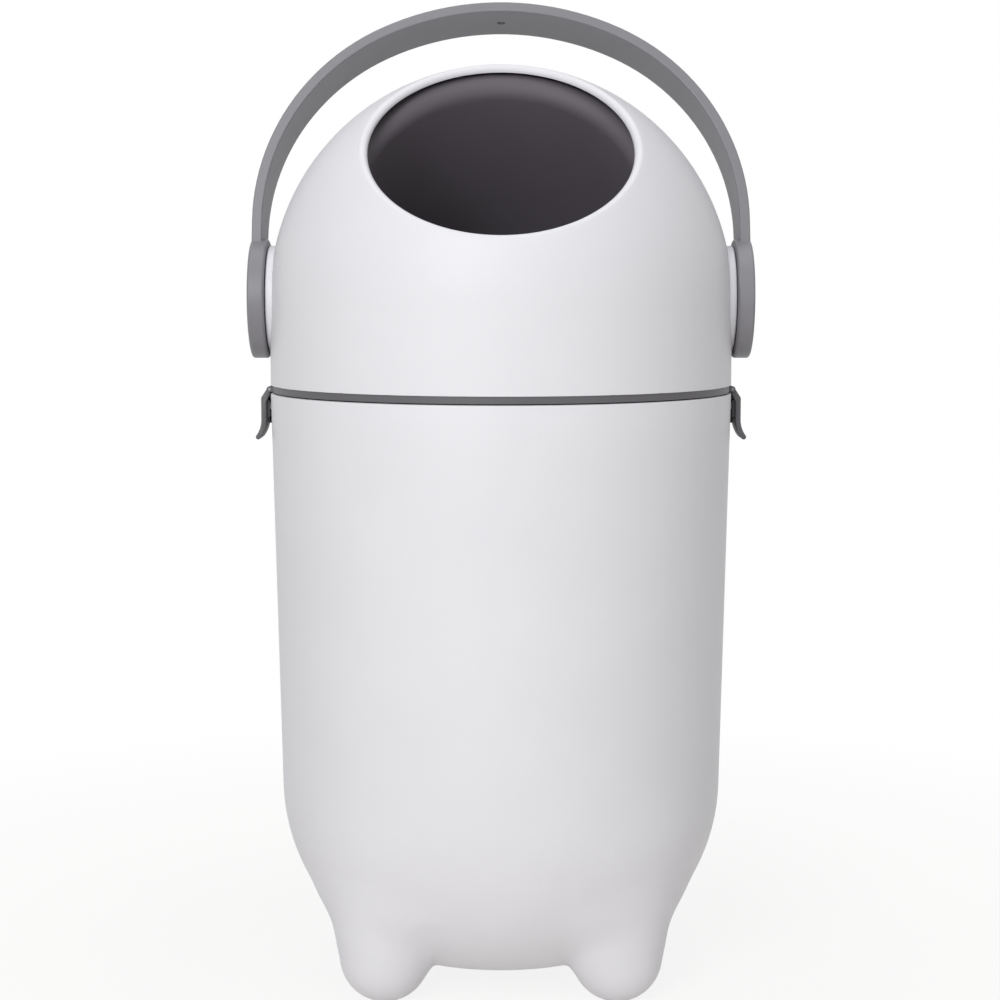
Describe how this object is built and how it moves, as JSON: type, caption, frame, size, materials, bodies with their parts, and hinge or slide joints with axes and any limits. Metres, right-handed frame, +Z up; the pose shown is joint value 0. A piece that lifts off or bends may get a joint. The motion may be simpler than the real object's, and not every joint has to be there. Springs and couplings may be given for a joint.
{
  "type": "nappy bin",
  "caption": "Free-standing bin for used nappies, with a domed head, a tilting drum turned by a hoop handle, and side latches.",
  "frame": {"origin": "middle of the floor under the bin, where the feet stand", "axes": "+Z up, -Y towards the front with the opening, +X towards the right-hand hub of the handle"},
  "size_m": [0.302, 0.28, 0.5962],
  "materials": {
    "shell_white": "satin moulded",
    "trim_grey": "satin moulded",
    "drum_grey": "satin moulded",
    "bush_plastic": "natural",
    "seal_rubber": "matte",
    "steel": "zinc plated"
  },
  "bodies": {
    "bin": {"bin_shell": "shell_white"},
    "head": {"dome_shell": "shell_white", "base_ring": "trim_grey", "ring_screws": "steel", "rim_gasket": "seal_rubber", "opening_seal": "seal_rubber", "bush_left": "bush_plastic", "bush_right": "bush_plastic", "latch_pin_left": "steel", "latch_pin_right": "steel"},
    "drum": {"drum_front": "drum_grey", "drum_rear": "drum_grey", "axle_left": "trim_grey", "axle_right": "trim_grey", "handle": "trim_grey", "hub_screw_left": "steel", "hub_screw_right": "steel", "hub_cap_left": "trim_grey", "hub_cap_right": "trim_grey"},
    "left_latch": {"latch_left": "trim_grey"},
    "right_latch": {"latch_right": "trim_grey"}
  },
  "joints": [
    {"name": "head_lift", "type": "slide", "parent": "bin", "child": "head", "axis": [0, 0, 1], "range_m": [0, 0.18]},
    {"name": "handle_swing", "type": "hinge", "parent": "head", "child": "drum", "pos_m": [0, 0, 0.415], "axis": [1, 0, 0], "range_deg": [0, 130]},
    {"name": "left_latch_swing", "type": "hinge", "parent": "head", "child": "left_latch", "pos_m": [-0.14, 0, 0.36075], "axis": [0, 1, 0], "range_deg": [0, 75]},
    {"name": "right_latch_swing", "type": "hinge", "parent": "head", "child": "right_latch", "pos_m": [0.14, 0, 0.36075], "axis": [0, -1, 0], "range_deg": [0, 75]}
  ]
}
